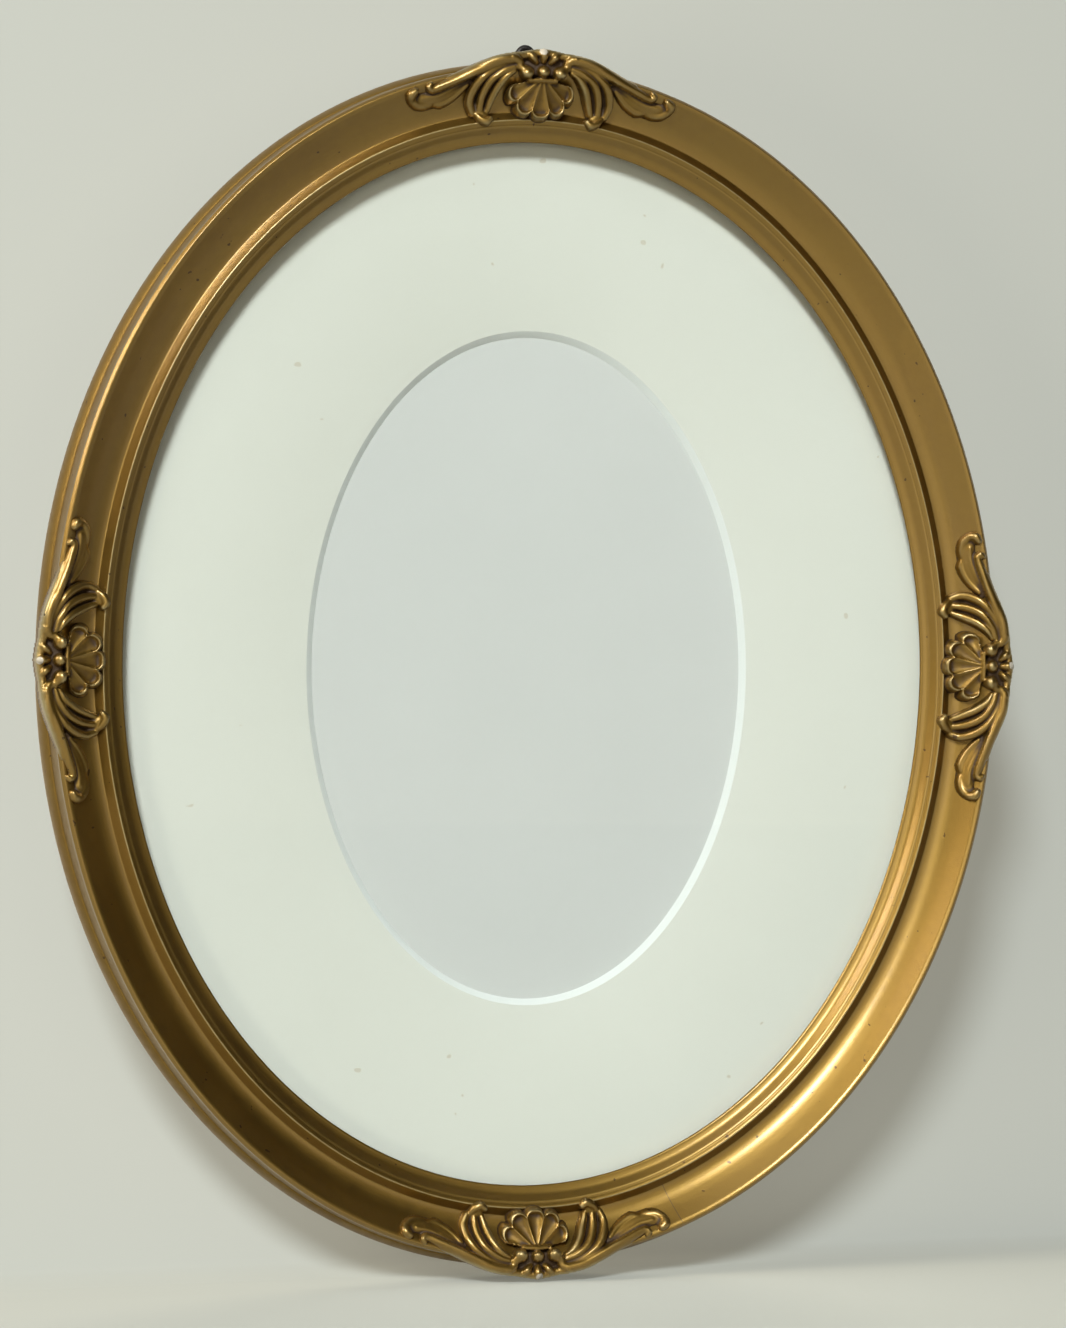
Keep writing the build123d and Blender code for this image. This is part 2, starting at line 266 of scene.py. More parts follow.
def newestObject(name):
    piece = bpy.context.object
    piece.name = name
    piece.data.name = name
    return piece


def gridPiece(name, columns, rows):
    bpy.ops.object.select_all(action="DESELECT")
    bpy.ops.mesh.primitive_grid_add(x_subdivisions=columns - 1, y_subdivisions=rows - 1, size=2.0)
    piece = newestObject(name)
    co = np.empty(len(piece.data.vertices) * 3)
    piece.data.vertices.foreach_get("co", co)
    co = co.reshape(-1, 3)
    col = np.rint((co[:, 0] + 1) / 2 * (columns - 1)).astype(int)
    row = np.rint((co[:, 1] + 1) / 2 * (rows - 1)).astype(int)
    return piece, col, row


def setPoints(piece, co):
    piece.data.vertices.foreach_set("co", np.ascontiguousarray(co, dtype=np.float64).ravel())
    piece.data.update()


def setMark(piece, name, values):
    layer = piece.data.attributes.new(name, "FLOAT", "POINT")
    layer.data.foreach_set("value", np.ascontiguousarray(values, dtype=np.float64))


def inEditMode(piece):
    bpy.ops.object.select_all(action="DESELECT")
    piece.select_set(True)
    bpy.context.view_layer.objects.active = piece
    bpy.ops.object.mode_set(mode="EDIT")
    bpy.ops.mesh.select_all(action="SELECT")


def smoothByAngle(piece, degrees):
    bpy.ops.object.select_all(action="DESELECT")
    piece.select_set(True)
    bpy.context.view_layer.objects.active = piece
    bpy.ops.object.shade_smooth_by_angle(angle=math.radians(degrees))


# moulding
moulding = dict(
    step=1.4,
    corner=0.11,
    rabbet=7.0,
    lipBack=4.7,
    undercut=1.4,
    lipFront=(-0.15, 7.3),
    lipRound=(-0.02, 7.66),
    flankFoot=(17.0, 8.0),
    groove=(17.12, 7.35),
    backTop=(17.4, 7.2),
    backRound=(18.75, 4.0),
    backEdge=(18.1, 0.0),
    middleR=118.0,
    endSteps=(0.05, 0.12, 0.25, 0.45),
    smoothAngle=32,
    band=(
        (0.3, 7.85),
        (0.6, 7.92),
        (1.1, 8.09),
        (1.35, 8.19),
        (1.6, 8.32),
        (1.85, 8.49),
        (2.1, 8.72),
        (2.85, 9.53),
        (3.1, 9.78),
    ),
    fillet=((3.1, 9.78), (3.25, 9.88), (3.4, 9.95), (3.6, 10.02)),
    crest=((3.6, 10.02), (3.85, 10.18), (4.1, 10.39), (4.35, 10.56), (4.6, 10.64), (4.72, 10.62)),
    slope=((4.72, 10.62), (4.85, 10.54), (5.4, 10.06), (5.9, 9.62), (6.4, 9.18)),
    cove=(
        (6.4, 9.18),
        (6.55, 9.08),
        (6.75, 9.04),
        (7.1, 9.07),
        (7.5, 9.14),
        (7.9, 9.24),
        (8.3, 9.36),
        (8.7, 9.51),
        (9.1, 9.68),
        (9.5, 9.89),
        (9.9, 10.13),
        (10.3, 10.4),
        (10.7, 10.7),
        (11.5, 11.33),
        (12.3, 12.01),
        (13.4, 13.0),
        (14.5, 14.01),
    ),
    rim=(
        (14.5, 14.01),
        (14.7, 14.17),
        (15.0, 14.34),
        (15.3, 14.45),
        (15.52, 14.48),
        (15.66, 14.44),
        (15.8, 14.33),
        (16.3, 13.8),
    ),
    # spots of dirt and wear: n, f, width, amount
    grime=(
        (0.35, 7.87, 0.18, 0.35),
        (3.62, 10.03, 0.16, 0.5),
        (6.6, 9.08, 0.2, 0.15),
        (17.2, 7.3, 0.35, 0.4),
    ),
    wear=(
        (0.0, 7.7, 0.3, 0.2),
        (3.3, 9.9, 0.16, 0.5),
        (4.62, 10.63, 0.22, 0.9),
        (6.9, 9.06, 0.4, 0.25),
        (15.55, 14.47, 0.3, 0.3),
    ),
    flankGrime=0.38,
    flankN=16.2,
    flankF=13.6,
    frontN=16.0,
    frontF=4.8,
    # bare wood: outward of and behind the first pair, or inward of and behind the second
    bareBack=(7.1, 0.05),
    bareRabbet=(7.25, 4.75),
    crackBand=(6.5, 15.2),
)


def arcPoints(a, mid, b, count):
    (ax, ay), (mx, my), (bx, by) = a, mid, b
    d = 2 * (ax * (my - by) + mx * (by - ay) + bx * (ay - my))
    a2, m2, b2 = ax * ax + ay * ay, mx * mx + my * my, bx * bx + by * by
    cx = (a2 * (my - by) + m2 * (by - ay) + b2 * (ay - my)) / d
    cy = (a2 * (bx - mx) + m2 * (ax - bx) + b2 * (mx - ax)) / d
    r = math.hypot(ax - cx, ay - cy)
    t = [math.atan2(y - cy, x - cx) for x, y in (a, mid, b)]
    turn = (t[2] - t[0]) % (2 * math.pi)
    if (t[1] - t[0]) % (2 * math.pi) > turn:
        turn -= 2 * math.pi
    steps = [t[0] + turn * k / count for k in range(1, count + 1)]
    return [(cx + r * math.cos(at), cy + r * math.sin(at)) for at in steps]


def smoothLine(points, count=14):
    p = np.array(points, float)
    e = np.vstack([2 * p[0] - p[1], p, 2 * p[-1] - p[-2]])
    t = np.linspace(0, 1, count, endpoint=False)[:, None]
    spans = []
    for a, b, c, d in zip(e, e[1:], e[2:], e[3:]):
        square = (2 * a - 5 * b + 4 * c - d) * t**2
        cube = (3 * b - a - 3 * c + d) * t**3
        spans.append(0.5 * (2 * b + (c - a) * t + square + cube))
    return np.vstack(spans + [p[-1:]])


def mouldingSection():
    # runs of the outline, from the lip's back over the face and round the back, with eased corners
    m = moulding
    lip = (m["undercut"], m["lipBack"])
    rabbetTop = (m["rabbet"], m["lipBack"])
    rabbetFoot = (m["rabbet"], 0.0)
    runs = [
        ("line", lip, m["lipFront"], 4),
        ("arc", m["lipFront"], m["lipRound"], m["band"][0], 6),
        ("curve", m["band"], 3),
        ("curve", m["fillet"], 2),
        ("curve", m["crest"], 3),
        ("curve", m["slope"], 2),
        ("curve", m["cove"], 4),
        ("curve", m["rim"], 3),
        ("line", m["rim"][-1], m["flankFoot"], 10),
        ("line", m["flankFoot"], m["groove"], 1),
        ("line", m["groove"], m["backTop"], 1),
        ("arc", m["backTop"], m["backRound"], m["backEdge"], 14),
        ("line", m["backEdge"], rabbetFoot, 6),
        ("line", rabbetFoot, rabbetTop, 3),
        ("line", rabbetTop, lip, 3),
    ]
    points = [runs[0][1]]
    corners = []
    for run in runs:
        if run[0] == "line":
            a, b, count = run[1:]
            for k in range(1, count + 1):
                points.append((a[0] + (b[0] - a[0]) * k / count, a[1] + (b[1] - a[1]) * k / count))
        elif run[0] == "curve":
            points += [tuple(p) for p in smoothLine(run[1], run[2])[1:]]
        else:
            points += arcPoints(*run[1:])
        corners.append(len(points) - 1)
    eased = []
    for k, p in enumerate(points):
        if k in corners[:-1]:
            before = np.array(points[k - 1])
            here = np.array(p)
            after = np.array(points[k + 1])
            cut = [min(m["corner"], 0.4 * np.linalg.norm(q - here)) for q in (before, after)]
            a = here + (before - here) / np.linalg.norm(before - here) * cut[0]
            b = here + (after - here) / np.linalg.norm(after - here) * cut[1]
            for t in (0.0, 0.35, 0.65, 1.0):
                eased.append(tuple((1 - t) ** 2 * a + 2 * t * (1 - t) * here + t * t * b))
        else:
            eased.append(p)
    return np.array(eased)


section = mouldingSection()


def sectionMarks(points):
    n, f = points[:, 0], points[:, 1]
    front = (f > moulding["frontF"]) | (n > moulding["frontN"])

    def spots(rows):
        total = np.zeros(len(n))
        for at, high, wide, amount in rows:
            total = np.maximum(total, amount * np.exp(-(((n - at) ** 2 + (f - high) ** 2) / wide**2)))
        return total

    flank = np.clip(moulding["flankF"] - f, 0, 1) * (n > moulding["flankN"])
    grime = np.maximum(spots(moulding["grime"]), moulding["flankGrime"] * flank)
    (backN, backF), (rabbetN, rabbetF) = moulding["bareBack"], moulding["bareRabbet"]
    bare = np.where(((n > backN) & (f < backF)) | ((n < rabbetN) & (f < rabbetF)), 1.0, 0.0)
    return grime * front, spots(moulding["wear"]) * front, bare


def makeMoulding(node, start, stop):
    a0, a1 = math.radians(start), math.radians(stop)
    count = int(round((a1 - a0) * moulding["middleR"] / moulding["step"])) + 1
    angles = np.linspace(a0, a1, count)
    fine = np.radians(moulding["endSteps"])
    angles = np.sort(np.concatenate([angles, a0 + fine, a1 - fine]))
    piece, col, row = gridPiece(node + "Gilt", len(angles), len(section))
    co = onOval(angles[col], section[row, 0], section[row, 1])
    setPoints(piece, co)
    grime, wear, bare = sectionMarks(section)
    setMark(piece, "grime", grime[row])
    setMark(piece, "wear", wear[row])
    setMark(piece, "bare", bare[row])
    crack = np.zeros(len(col))
    if node == "moulding_right":
        inner, outer = moulding["crackBand"]
        crack = np.where(col < 2, 1.0, 0.0) * ((section[row, 0] > inner) & (section[row, 0] < outer))
    setMark(piece, "gesso", np.zeros(len(col)))
    setMark(piece, "crack", crack)
    inEditMode(piece)
    bpy.ops.mesh.remove_doubles(threshold=weldGap)
    bpy.ops.mesh.select_all(action="DESELECT")
    bpy.ops.mesh.select_mode(type="EDGE")
    bpy.ops.mesh.select_non_manifold()
    bpy.ops.mesh.edge_face_add()
    bpy.ops.mesh.select_all(action="SELECT")
    bpy.ops.mesh.normals_make_consistent(inside=False)
    bpy.ops.object.mode_set(mode="OBJECT")
    smoothByAngle(piece, moulding["smoothAngle"])
    piece.data.materials.append(gilt)
    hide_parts(node)
    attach(piece, "frame")


joint = oval["jointAngle"]
makeMoulding("moulding_right", -joint, joint)
makeMoulding("moulding_top", joint, 180 - joint)
makeMoulding("moulding_left", 180 - joint, 180 + joint)
makeMoulding("moulding_bottom", 180 + joint, 360 - joint)
print("moulding swept,", len(section), "points in the section")


# ornaments: relief over the moulding, each strand a line of (along, outward, height, radius)
ornament = dict(
    cell=0.17,
    halfLength=31.6,
    innerN=2.8,
    outerN=20.5,
    hingeN=13.4,
    lobeEdges=(16.5, 48.0, 80.0),
    lobeReach=((0.0, 9.5), (32.0, 9.9), (64.0, 9.1), (80.0, 8.2)),
    dropF=11.5,
    faceN=(0.2, 16.3),
    faceF=7.7,
    outset=0.22,
    lift=(
        (8.5, 0.0),
        (10.0, 0.25),
        (12.0, 0.75),
        (13.0, 0.9),
        (14.0, 0.85),
        (15.0, 0.5),
        (16.5, 0.08),
        (20.0, 0.0),
    ),
    seat=0.35,
    thinnest=0.05,
    soften=0.12,
    patinaReach=0.7,
    patina=(0.24, 2.2),
    rub=0.9,
    chip=(0.2, 19.2, 0.9),
    smoothAngle=62,
)
strands = dict(
    hingeBar=((0.0, 12.95, 13.8, 0.65), (3.0, 12.85, 13.7, 0.6)),
    crown=(
        (0.0, 19.1, 14.9, 1.1),
        (2.4, 18.85, 14.9, 1.0),
        (4.8, 18.4, 15.0, 1.0),
        (7.6, 18.05, 15.2, 1.0),
    ),
    ridge=(
        (4.8, 18.5, 15.1, 0.95),
        (7.6, 18.2, 15.3, 1.0),
        (10.4, 17.7, 15.2, 1.0),
        (14.0, 16.7, 14.8, 1.0),
        (17.6, 15.7, 14.3, 0.9),
        (20.8, 15.0, 14.0, 0.7),
    ),
    crestPetal=((0.0, 17.2, 15.1, 0.7), (0.0, 18.4, 15.8, 0.95), (0.0, 19.3, 15.6, 0.8)),
    sidePetal=((1.5, 16.9, 15.0, 0.6), (2.3, 17.8, 15.6, 0.85), (2.9, 18.6, 15.5, 0.7)),
    volute=(
        (3.9, 14.9, 14.9, 1.3),
        (5.0, 15.9, 15.1, 1.0),
        (5.4, 17.1, 15.5, 1.0),
        (6.8, 17.8, 15.8, 1.1),
    ),
    rimScroll=(
        (6.2, 17.7, 15.7, 1.1),
        (10.0, 17.4, 15.6, 1.3),
        (15.0, 15.8, 14.9, 1.3),
        (19.0, 14.7, 14.1, 1.2),
        (22.3, 13.9, 13.5, 1.1),
        (24.8, 13.5, 13.2, 0.95),
        (25.7, 14.2, 13.7, 0.75),
        (25.1, 14.8, 14.0, 0.6),
    ),
    tailBody=(
        (16.5, 14.2, 12.0, 1.2),
        (19.5, 13.2, 11.0, 1.9),
        (23.0, 12.3, 10.2, 2.4),
        (26.5, 12.3, 10.2, 2.4),
        (29.0, 13.0, 11.2, 1.6),
    ),
    tailCrease=(
        (17.6, 14.0, 13.0, 0.6),
        (21.0, 12.8, 12.4, 0.75),
        (24.5, 12.0, 12.0, 0.8),
        (27.5, 12.2, 12.1, 0.7),
    ),
    tailEdge=(
        (17.0, 13.1, 12.4, 0.7),
        (19.2, 11.6, 11.5, 0.85),
        (21.5, 10.6, 11.0, 0.95),
        (23.6, 10.25, 10.8, 1.0),
        (25.3, 10.9, 11.0, 0.85),
    ),
    tailTip=(
        (24.6, 10.9, 10.9, 0.8),
        (26.8, 10.7, 11.0, 1.0),
        (28.8, 11.2, 11.4, 1.05),
        (30.0, 12.5, 12.3, 1.0),
        (29.8, 13.7, 13.3, 1.15),
        (28.9, 14.2, 13.7, 0.95),
    ),
    leafBody=(
        (8.0, 16.2, 12.4, 1.5),
        (11.2, 14.2, 11.2, 2.1),
        (13.4, 11.2, 9.6, 2.4),
        (14.2, 8.4, 8.6, 2.0),
    ),
    fluteOuter=(
        (6.6, 17.0, 15.2, 0.8),
        (9.6, 16.4, 15.1, 0.95),
        (12.8, 14.8, 14.4, 1.0),
        (15.4, 12.2, 13.0, 1.05),
        (16.7, 9.4, 11.4, 1.0),
        (16.3, 7.0, 10.5, 0.9),
    ),
    fluteSecond=(
        (6.4, 15.9, 15.0, 0.75),
        (9.0, 15.1, 14.7, 0.9),
        (11.9, 13.0, 13.6, 0.95),
        (13.7, 10.2, 12.2, 0.95),
        (14.5, 7.2, 10.8, 0.85),
    ),
    fluteThird=(
        (6.4, 15.0, 14.6, 0.65),
        (8.2, 13.9, 14.1, 0.85),
        (10.2, 11.6, 13.0, 0.95),
        (11.6, 9.2, 11.7, 0.95),
        (12.7, 6.9, 10.7, 0.8),
    ),
    leafFoot=((15.2, 8.0, 9.6, 1.6), (14.3, 6.6, 10.0, 1.5), (13.4, 5.4, 10.4, 1.2)),
    tipCurl=(
        (15.6, 6.6, 10.6, 0.8),
        (14.7, 5.3, 11.0, 1.0),
        (13.3, 4.5, 11.2, 1.05),
        (12.2, 5.0, 11.3, 0.8),
    ),
)
beads = ((0.0, 14.8, 15.0, 1.35), (3.7, 14.6, 14.9, 1.55))
hub = dict(middleN=16.4, halfLength=7.0, halfWidth=2.6, top=14.8)
shell = dict(
    bed=13.9,
    fall=0.25,
    scallop=(0.05, 0.12),
    rib=(0.25, 0.1),
    ribPower=2.2,
    roll=(1.3, 0.85, 0.7),
    edge=0.6,
    skirt=0.35,
)


def ground(n):
    inner, outer = ornament["faceN"]
    n0, f0 = section[:, 0], section[:, 1]
    face = section[(n0 > inner) & (n0 < outer) & (f0 > ornament["faceF"])]
    return np.where(n > outer, ornament["dropF"], np.interp(n, face[:, 0], face[:, 1]))


def strandHeight(along, outward, points):
    line = smoothLine(points)
    best = np.full(along.shape, -1.0)
    for a, b in zip(line, line[1:]):
        d = b[:2] - a[:2]
        k = np.clip(((along - a[0]) * d[0] + (outward - a[1]) * d[1]) / max(d @ d, 1e-9), 0, 1)
        away = (along - a[0] - k * d[0]) ** 2 + (outward - a[1] - k * d[1]) ** 2
        r = a[3] + k * (b[3] - a[3])
        rise = np.sqrt(np.maximum(1 - away / (r * r), 0))
        best = np.maximum(best, np.where(rise > 0, a[2] + k * (b[2] - a[2]) + r * rise, -1))
    return best


def shellHeight(along, outward):
    away = np.hypot(along, ornament["hingeN"] - outward)
    turn = np.degrees(np.arctan2(along, ornament["hingeN"] - outward))
    edges = np.array([-ornament["lobeEdges"][0], *ornament["lobeEdges"]])
    lobe = np.clip(np.searchsorted(edges, turn) - 1, 0, 2)
    v = (turn - (edges[lobe] + edges[lobe + 1]) / 2) / ((edges[lobe + 1] - edges[lobe]) / 2)
    reach = np.interp(turn, *zip(*ornament["lobeReach"]))
    square, fourth = shell["scallop"]
    inside = reach * (1 - square * v**2 - fourth * v**4) - away
    bed = shell["bed"] - shell["fall"] * away
    near, grow = shell["rib"]
    scoop = bed + (near + grow * away) * np.abs(v) ** shell["ribPower"]
    high, at, wide = shell["roll"]
    f = np.maximum(scoop, bed + high * np.exp(-(((inside - at) / wide) ** 2)))
    edge = shell["edge"]
    f = np.where(inside < edge, f - ((edge - inside) / edge) ** 2, f)
    return np.where((inside > -shell["skirt"]) & (turn <= edges[3]), f, -1)


def reliefHeight(along, outward):
    along = np.abs(along)
    f = shellHeight(along, outward)
    for s, n, high, r in beads:
        away = (along - s) ** 2 + (outward - n) ** 2
        f = np.maximum(f, np.where(away < r * r, high + np.sqrt(np.maximum(r * r - away, 0)), -1))
    dome = (along / hub["halfLength"]) ** 2 + ((outward - hub["middleN"]) / hub["halfWidth"]) ** 2
    f = np.maximum(f, np.where(dome < 1, hub["top"] - dome, -1))
    for points in strands.values():
        f = np.maximum(f, strandHeight(along, outward, points))
    return f


def blur(field, sigma):
    reach = max(1, int(3 * sigma))
    weights = np.exp(-0.5 * (np.arange(-reach, reach + 1) / sigma) ** 2)
    weights /= weights.sum()
    for axis in (0, 1):
        padded = np.pad(field, [(reach, reach) if k == axis else (0, 0) for k in (0, 1)], mode="edge")
        size = field.shape[axis]
        field = sum(w * np.take(padded, range(i, i + size), axis=axis) for i, w in enumerate(weights))
    return field


def carveRelief():
    cell = ornament["cell"]
    columns = int(2 * ornament["halfLength"] / cell) + 1
    rows = int((ornament["outerN"] - ornament["innerN"]) / cell) + 1
    alongLine = np.linspace(-ornament["halfLength"], ornament["halfLength"], columns)
    outLine = np.linspace(ornament["innerN"], ornament["outerN"], rows)
    along, outward = np.meshgrid(alongLine, outLine, indexing="ij")
    carved = reliefHeight(along, outward) + np.interp(outward, *zip(*ornament["lift"]))
    base = ground(outward + ornament["outset"])
    raised = carved > base + ornament["thinnest"]
    f = blur(np.maximum(carved, base), ornament["soften"] / cell)
    wide = blur(f, ornament["patinaReach"] / cell)
    low = np.where(base == ornament["dropF"], base, base - ornament["seat"])
    ring = raised.copy()
    for axis in (0, 1):
        for step in (1, -1):
            ring |= np.roll(raised, step, axis)
    top = np.where(raised, f, low + ornament["thinnest"])
    chipAlong, chipOut, chipSize = ornament["chip"]
    chip = np.exp(-(((along - chipAlong) / chipSize) ** 2 + ((outward - chipOut) / chipSize) ** 2))
    film, hollow = ornament["patina"]
    marks = dict(
        grime=np.clip(film + (wide - f) * hollow, 0, 1),
        wear=np.clip((f - wide) * ornament["rub"], 0, 1),
        gesso=chip,
        bare=np.zeros_like(f),
        crack=np.zeros_like(f),
    )
    return dict(along=alongLine, out=outLine, ring=ring, top=top, low=low, marks=marks)


def sheetFaces(ring):
    # quads over the kept cells, the same below turned over, and walls round every edge
    cells = ring[:-1, :-1] & ring[1:, :-1] & ring[:-1, 1:] & ring[1:, 1:]
    number = np.full(ring.shape, -1)
    used = np.zeros_like(ring)
    for di in (0, 1):
        for dj in (0, 1):
            used[di : di + cells.shape[0], dj : dj + cells.shape[1]] |= cells
    number[used] = np.arange(used.sum())
    count = int(used.sum())
    i, j = np.nonzero(cells)
    quads = np.stack([number[i, j], number[i + 1, j], number[i + 1, j + 1], number[i, j + 1]], -1)
    sides = np.concatenate([np.stack([quads[:, k], quads[:, (k + 1) % 4]], -1) for k in range(4)])
    key = sides.min(1) * count + sides.max(1)
    once = np.unique(key, return_counts=True)
    lone = sides[np.isin(key, once[0][once[1] == 1])]
    walls = np.stack([lone[:, 1], lone[:, 0], lone[:, 0] + count, lone[:, 1] + count], -1)
    return used, np.concatenate([quads, quads[:, ::-1] + count, walls])


relief = carveRelief()
reliefUsed, reliefFaces = sheetFaces(relief["ring"])


def makeOrnament(node, middle):
    angles = angleAt(math.radians(middle), relief["along"])
    i, j = np.nonzero(reliefUsed)
    n = relief["out"][j] + ornament["outset"]
    upper = onOval(angles[i], n, relief["top"][i, j])
    lower = onOval(angles[i], n, relief["low"][i, j])
    mesh = bpy.data.meshes.new(node + "Gilt")
    mesh.from_pydata(np.concatenate([upper, lower]).tolist(), [], reliefFaces.tolist())
    piece = bpy.data.objects.new(node + "Gilt", mesh)
    bpy.context.collection.objects.link(piece)
    for name, field in relief["marks"].items():
        setMark(piece, name, np.tile(field[i, j], 2))
    inEditMode(piece)
    bpy.ops.mesh.normals_make_consistent(inside=False)
    bpy.ops.object.mode_set(mode="OBJECT")
    smoothByAngle(piece, ornament["smoothAngle"])
    mesh.materials.append(gilt)
    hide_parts(node)
    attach(piece, "frame")


makeOrnament("ornament_right", 0)
makeOrnament("ornament_top", 90)
makeOrnament("ornament_left", 180)
makeOrnament("ornament_bottom", 270)
print("ornaments carved")


# paper, board, glass and metal
paper = dict(cloudScale=14.0, rough=0.85, bump=0.12, bumpDepth=0.0002)
metal = dict(cloudScale=180.0, fineScale=1500.0, bump=0.2, bumpDepth=0.0002)
clearGlass = dict(tint=(0.985, 0.99, 0.985), rough=0.02, ior=1.2)


def paperFinish(name, colour, shade, fibre):
    f = Finish(name)
    where = f.place()
    cloud = f.noise(where, paper["cloudScale"], 3.0, 0.5)
    fine = f.noise(where, fibre, 4.0, 0.7)
    tone = f.mix((cloud * 0.6 + fine * 0.4).above(0.3, 0.75), colour, shade)
    tooth = f.bump(fine, paper["bump"], paper["bumpDepth"])
    return f.surface({"Base Color": tone, "Roughness": paper["rough"], "Normal": tooth})


def metalFinish(name, colour, dark, rough, metallic):
    f = Finish(name)
    where = f.place()
    cloud = f.noise(where, metal["cloudScale"], 4.0, 0.6)
    fine = f.noise(where, metal["fineScale"], 3.0, 0.6)
    tone = (cloud * 0.7 + fine * 0.4).above(0.42, 0.72)
    return f.surface(
        {
            "Base Color": f.mix(tone, colour, dark),
            "Metallic": metallic,
            "Roughness": rough + 0.25 * tone,
            "Normal": f.bump(fine, metal["bump"], metal["bumpDepth"]),
        }
    )


def glassFinish():
    f = Finish("clearGlass")
    clear = f.add("ShaderNodeBsdfTransparent", {}, {"Color": clearGlass["tint"]})
    sheen = f.add("ShaderNodeBsdfGlossy", {}, {"Roughness": clearGlass["rough"]})
    gloss = f.add("ShaderNodeFresnel", {}, {"IOR": clearGlass["ior"]})
    mixed = f.add("ShaderNodeMixShader", {}, {0: gloss, 1: clear, 2: sheen})
    f.tree.links.new(mixed.socket, f.out.inputs["Surface"])
    return f.material


def dress(node, material):
    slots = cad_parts[node].data.materials
    slots.clear()
    slots.append(material)


# mat, insert and glass, as rings of ovals
glazing = dict(
    a=101.2,
    b=126.4,
    matBack=1.3,
    matFace=2.675,
    opening=(50.8, 76.2),
    bevel=1.4,
    shift=(0.6, -1.0),
    insert=(1.02, 1.28),
    glass=(2.72, 4.67),
    ease=0.05,
    turns=321,
    smoothAngle=25,
    matLight=(0.712, 0.736, 0.676),
    matShade=(0.688, 0.712, 0.65),
    matSpot=(0.45, 0.38, 0.24),
    matCore=(0.76, 0.80, 0.78),
    matFibre=1100.0,
    matBump=0.10,
    spotScale=330.0,
    spotSpan=(0.885, 0.9),
    paper=dict(colour=(0.632, 0.658, 0.642), shade=(0.602, 0.63, 0.614), fibre=700.0),
    board=dict(colour=(0.235, 0.145, 0.065), shade=(0.16, 0.095, 0.042), fibre=450.0),
)


def ovalRings(name, rings, closed):
    turns = glazing["turns"]
    count = len(rings) + (1 if closed else 0)
    piece, col, row = gridPiece(name, turns, count)
    table = np.array(rings + rings[:1])
    angle = 2 * math.pi * col / (turns - 1)
    ring = table[row]
    x = ring[:, 2] + ring[:, 0] * np.cos(angle)
    y = ring[:, 3] + ring[:, 1] * np.sin(angle)
    setPoints(piece, toRow(x, y, ring[:, 4]))
    return piece, row


def closeRings(piece, node, material):
    inEditMode(piece)
    bpy.ops.mesh.remove_doubles(threshold=weldGap)
    bpy.ops.mesh.normals_make_consistent(inside=False)
    bpy.ops.object.mode_set(mode="OBJECT")
    smoothByAngle(piece, glazing["smoothAngle"])
    piece.data.materials.append(material)
    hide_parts(node)
    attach(piece, "frame")


def makeMat():
    a, b, back, face = glazing["a"], glazing["b"], glazing["matBack"], glazing["matFace"]
    (oa, ob), cut, (sx, sy) = glazing["opening"], glazing["bevel"], glazing["shift"]
    rings = [
        (a, b, 0, 0, back),
        (a, b, 0, 0, face),
        (oa + cut + 0.10, ob + cut + 0.10, sx, sy, face),
        (oa + cut + 0.03, ob + cut + 0.03, sx, sy, face - 0.02),
        (oa + cut - 0.03, ob + cut - 0.03, sx, sy, face - 0.07),
        (oa + 0.04, ob + 0.04, sx, sy, back + 0.05),
        (oa, ob, sx, sy, back),
    ]
    piece, row = ovalRings("matSheet", rings, True)
    setMark(piece, "core", np.isin(row, (4, 5, 6)).astype(float))
    f = Finish("matBoard")
    where = f.place()
    cloud = f.noise(where, paper["cloudScale"], 3.0, 0.5)
    fine = f.noise(where, glazing["matFibre"], 4.0, 0.7)
    tone = (cloud * 0.6 + fine * 0.4).above(0.3, 0.75)
    colour = f.mix(tone, glazing["matLight"], glazing["matShade"])
    spot = f.noise(where, glazing["spotScale"], 0.0, 0.0).above(*glazing["spotSpan"])
    colour = f.mix(spot * 0.4, colour, glazing["matSpot"])
    colour = f.mix(f.mark("core"), colour, glazing["matCore"])
    tooth = f.bump(fine, glazing["matBump"], paper["bumpDepth"])
    board = f.surface({"Base Color": colour, "Roughness": paper["rough"], "Normal": tooth})
    closeRings(piece, "mat", board)


def makeDisc(node, name, span, material):
    a, b, ease = glazing["a"], glazing["b"], glazing["ease"]
    low, high = span
    rings = [
        (0, 0, 0, 0, low),
        (a - ease, b - ease, 0, 0, low),
        (a, b, 0, 0, low + ease),
        (a, b, 0, 0, high - ease),
        (a - ease, b - ease, 0, 0, high),
        (0, 0, 0, 0, high),
    ]
    piece = ovalRings(name, rings, False)[0]
    closeRings(piece, node, material)


makeMat()
insertPaper = paperFinish("insertPaper", **glazing["paper"])
makeDisc("insert_sheet", "insertPaper", glazing["insert"], insertPaper)
makeDisc("glass", "glassPane", glazing["glass"], glassFinish())
dress("backing_board", paperFinish("backingBoard", **glazing["board"]))
print("mat, insert and glass in place")

# hardware and dowels keep their CAD shapes
brassTones = dict(colour=(0.52, 0.36, 0.13), dark=(0.24, 0.15, 0.05), rough=0.34, metallic=0.95)
steelTones = dict(colour=(0.30, 0.29, 0.27), dark=(0.12, 0.10, 0.085), rough=0.38, metallic=0.9)
blackTones = dict(colour=(0.035, 0.032, 0.03), dark=(0.015, 0.013, 0.012), rough=0.42, metallic=0.7)
dowelTones = dict(colour=(0.46, 0.30, 0.14), shade=(0.36, 0.22, 0.10), fibre=600.0)
brass = metalFinish("dullBrass", **brassTones)
steel = metalFinish("dullSteel", **steelTones)
blackSteel = metalFinish("blackenedSteel", **blackTones)
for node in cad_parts:
    if node.startswith("turn_button_") and node != "turn_button_screws":
        dress(node, brass)
dress("turn_button_screws", steel)
dress("hanger_screws", steel)
dress("hanger_plate", blackSteel)
dress("hanger_ring", blackSteel)
dress("joint_dowels", paperFinish("dowelWood", **dowelTones))
print("finishes set")

